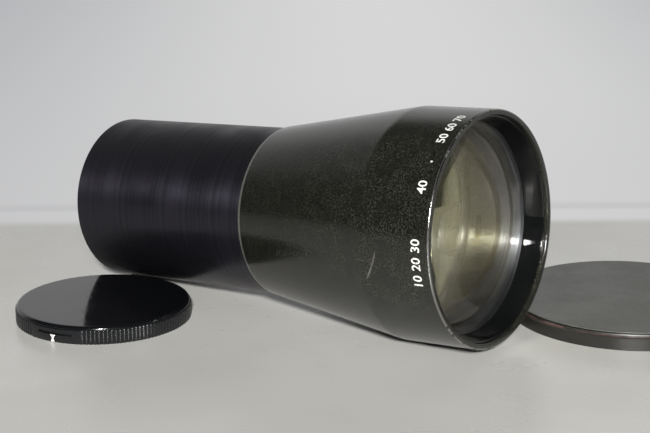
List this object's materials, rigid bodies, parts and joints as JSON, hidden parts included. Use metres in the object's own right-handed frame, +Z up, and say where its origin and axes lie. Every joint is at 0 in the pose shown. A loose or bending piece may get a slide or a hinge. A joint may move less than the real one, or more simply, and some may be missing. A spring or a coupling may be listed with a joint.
{
  "type": "cinema projection lens",
  "caption": "Fast projection lens with a smooth mounting barrel, a conical painted front housing, glass groups inside and two slip-on caps beside it.",
  "frame": {"origin": "on the table, under the centre of the bounding box of the lens and its two caps", "axes": "+X along the lens from its rear end to its front, seen from above; +Z up. The optical axis rises by 4.4 degrees towards the front, because the lens lies on its rear edge and on its shoulder."},
  "size_m": [0.2366, 0.1932, 0.0858],
  "materials": {
    "anodised_barrel": "black anodised, fine turned lines",
    "hammered_paint": "black hammered paint, satin, with white filled numbers at the rim",
    "gloss_black_ring": "gloss black enamel",
    "matt_black_ring": "matt black",
    "optical_glass": "polished and coated",
    "screw_steel": "turned",
    "gloss_black_plastic": "moulded, glossy, ribbed skirt",
    "cap_lacquer": "matt grained lacquer, worn"
  },
  "bodies": {
    "lens": {"mounting_barrel": "anodised_barrel", "front_housing": "hammered_paint", "front_retaining_ring": "gloss_black_ring", "front_element": "optical_glass", "front_spacer": "matt_black_ring", "second_element": "optical_glass", "negative_cell": "matt_black_ring", "third_element": "optical_glass", "negative_retaining_ring": "matt_black_ring", "light_baffle": "matt_black_ring", "aperture_stop": "matt_black_ring", "rear_cell": "matt_black_ring", "doublet_flint_element": "optical_glass", "doublet_crown_element": "optical_glass", "doublet_spacer": "matt_black_ring", "rear_element": "optical_glass", "rear_retaining_ring": "matt_black_ring", "cell_clamp_ring": "matt_black_ring", "barrel_lock_screw": "screw_steel"},
    "rear_cap": {"rear_cap": "gloss_black_plastic"},
    "front_cap": {"front_cap": "cap_lacquer"}
  },
  "joints": [
    {"name": "rear_cap_slide", "type": "slide", "parent": "lens", "child": "rear_cap", "axis": [0, -1, 0], "range_m": [0, 0.1]},
    {"name": "front_cap_slide", "type": "slide", "parent": "lens", "child": "front_cap", "axis": [0, 1, 0], "range_m": [0, 0.1]}
  ]
}
